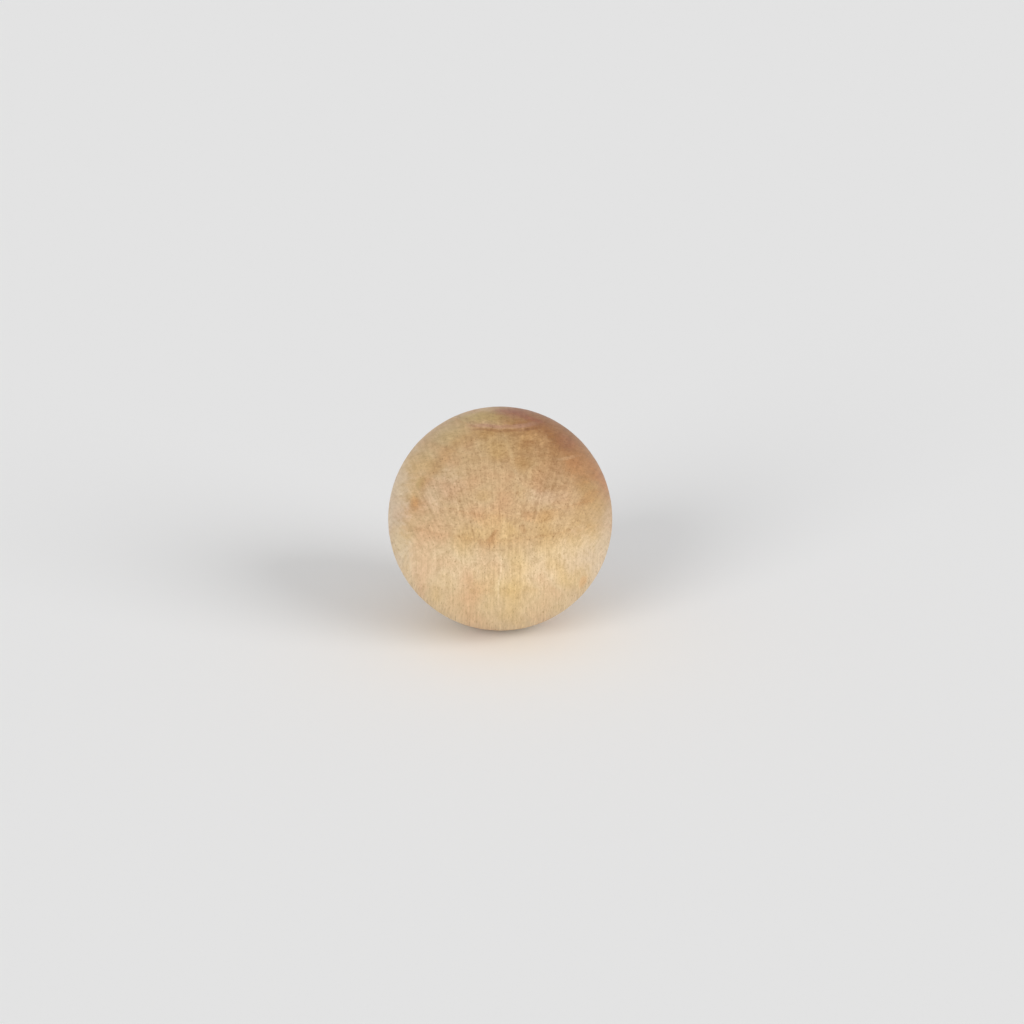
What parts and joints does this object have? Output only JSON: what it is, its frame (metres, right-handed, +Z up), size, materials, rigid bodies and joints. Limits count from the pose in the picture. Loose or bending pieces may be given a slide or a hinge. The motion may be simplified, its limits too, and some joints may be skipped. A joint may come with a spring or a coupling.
{
  "type": "wooden ball",
  "caption": "Plain solid wooden ball: a true sphere, turned and sanded smooth, with a bare pale finish that shows the grain.",
  "frame": {"origin": "centre of the ball", "axes": "+Z up as the ball lies on a table, -Y towards the side where the end grain faces forwards and up, +X to the right of that side; the form is the same about every axis"},
  "size_m": [0.025, 0.025, 0.025],
  "materials": {
    "birch": "bare, sanded and tumbled smooth, with a faint sheen and no varnish"
  },
  "bodies": {
    "root": {"ball": "birch"}
  },
  "joints": []
}
